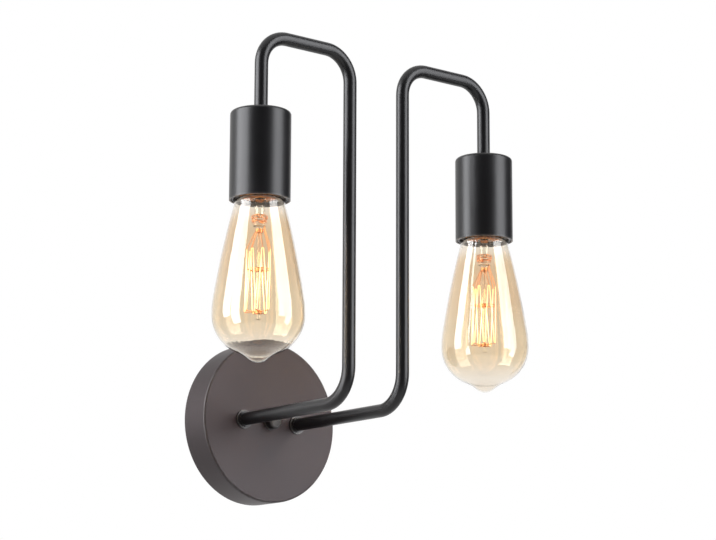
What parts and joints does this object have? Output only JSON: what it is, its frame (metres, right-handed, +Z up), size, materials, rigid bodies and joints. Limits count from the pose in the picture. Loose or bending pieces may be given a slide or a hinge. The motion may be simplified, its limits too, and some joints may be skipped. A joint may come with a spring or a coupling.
{
  "type": "industrial pipe wall light",
  "caption": "Wall light with a round canopy and bent tube arms that rise, turn outward and drop to metal cups; teardrop filament bulbs hang from them and unscrew.",
  "frame": {"origin": "centre of the crossbar's slots on the wall plane, which is also the centre of the canopy's back", "axes": "+Y into the wall, so the light's front faces -Y; +Z up; +X to the right of someone who faces the wall"},
  "size_m": [0.271, 0.181, 0.3158],
  "materials": {
    "canopy_paint": "satin powder coat",
    "arm_paint": "satin powder coat",
    "cup_paint": "satin powder coat",
    "black_fitting": "satin black finish",
    "zinc_steel": "bright zinc plate",
    "green_screw": "green dyed zinc",
    "bare_copper": "bare copper",
    "connector_plastic": "moulded",
    "lead_black": "insulation",
    "lead_white": "insulation",
    "holder_moulding": "moulded",
    "shell_copper": "copper plate",
    "contact_brass": "spring brass",
    "cap_brass": "rolled brass",
    "black_glass": "fused black insulator",
    "solder": "solder",
    "amber_glass": "clear amber tint",
    "stem_glass": "clear",
    "filament_glow": "glowing carbon wire",
    "support_wire": "drawn wire"
  },
  "bodies": {
    "fixture": {"canopy": "canopy_paint", "crossbar": "zinc_steel", "centre_screw": "zinc_steel", "crossbar_nut": "zinc_steel", "cap_nut_washer": "black_fitting", "cap_nut": "black_fitting", "ground_screw": "green_screw", "ground_lead": "bare_copper", "wire_connectors": "connector_plastic", "lock_washers": "zinc_steel", "arm_nuts": "zinc_steel", "left_arm": "arm_paint", "left_arm_collar": "black_fitting", "left_arm_nipple": "zinc_steel", "left_cup": "cup_paint", "left_cup_collar": "black_fitting", "left_cup_nipple": "zinc_steel", "left_cup_nut": "zinc_steel", "left_holder_yoke": "zinc_steel", "left_holder_body": "holder_moulding", "left_yoke_screws": "zinc_steel", "left_terminal_screws": "contact_brass", "left_screw_shell": "shell_copper", "left_centre_contact": "contact_brass", "left_hot_lead": "lead_black", "left_neutral_lead": "lead_white", "right_arm": "arm_paint", "right_arm_collar": "black_fitting", "right_arm_nipple": "zinc_steel", "right_cup": "cup_paint", "right_cup_collar": "black_fitting", "right_cup_nipple": "zinc_steel", "right_cup_nut": "zinc_steel", "right_holder_yoke": "zinc_steel", "right_holder_body": "holder_moulding", "right_yoke_screws": "zinc_steel", "right_terminal_screws": "contact_brass", "right_screw_shell": "shell_copper", "right_centre_contact": "contact_brass", "right_hot_lead": "lead_black", "right_neutral_lead": "lead_white"},
    "left_bulb_button": {"left_bulb_insulator": "black_glass", "left_bulb_contact": "solder"},
    "left_bulb": {"left_bulb_cap": "cap_brass", "left_bulb_glass": "amber_glass", "left_bulb_stem": "stem_glass", "left_bulb_filament": "filament_glow", "left_bulb_supports": "support_wire", "left_bulb_lead_ins": "support_wire"},
    "right_bulb_button": {"right_bulb_insulator": "black_glass", "right_bulb_contact": "solder"},
    "right_bulb": {"right_bulb_cap": "cap_brass", "right_bulb_glass": "amber_glass", "right_bulb_stem": "stem_glass", "right_bulb_filament": "filament_glow", "right_bulb_supports": "support_wire", "right_bulb_lead_ins": "support_wire"}
  },
  "joints": [
    {"name": "left_bulb_travel", "type": "slide", "parent": "fixture", "child": "left_bulb_button", "axis": [0, 0, -1], "range_m": [0, 0.0182]},
    {"name": "left_bulb_turn", "type": "hinge", "parent": "left_bulb_button", "child": "left_bulb", "pos_m": [-0.1035, -0.149, 0.1331], "axis": [0, 0, -1], "range_deg": [0, 1800]},
    {"name": "right_bulb_travel", "type": "slide", "parent": "fixture", "child": "right_bulb_button", "axis": [0, 0, -1], "range_m": [0, 0.0182]},
    {"name": "right_bulb_turn", "type": "hinge", "parent": "right_bulb_button", "child": "right_bulb", "pos_m": [0.1035, -0.149, 0.1331], "axis": [0, 0, -1], "range_deg": [0, 1800]}
  ],
  "couplings": [
    {"joint": "left_bulb_travel", "follows": "left_bulb_turn", "m_per_rad": 0.00057757},
    {"joint": "right_bulb_travel", "follows": "right_bulb_turn", "m_per_rad": 0.00057757}
  ]
}
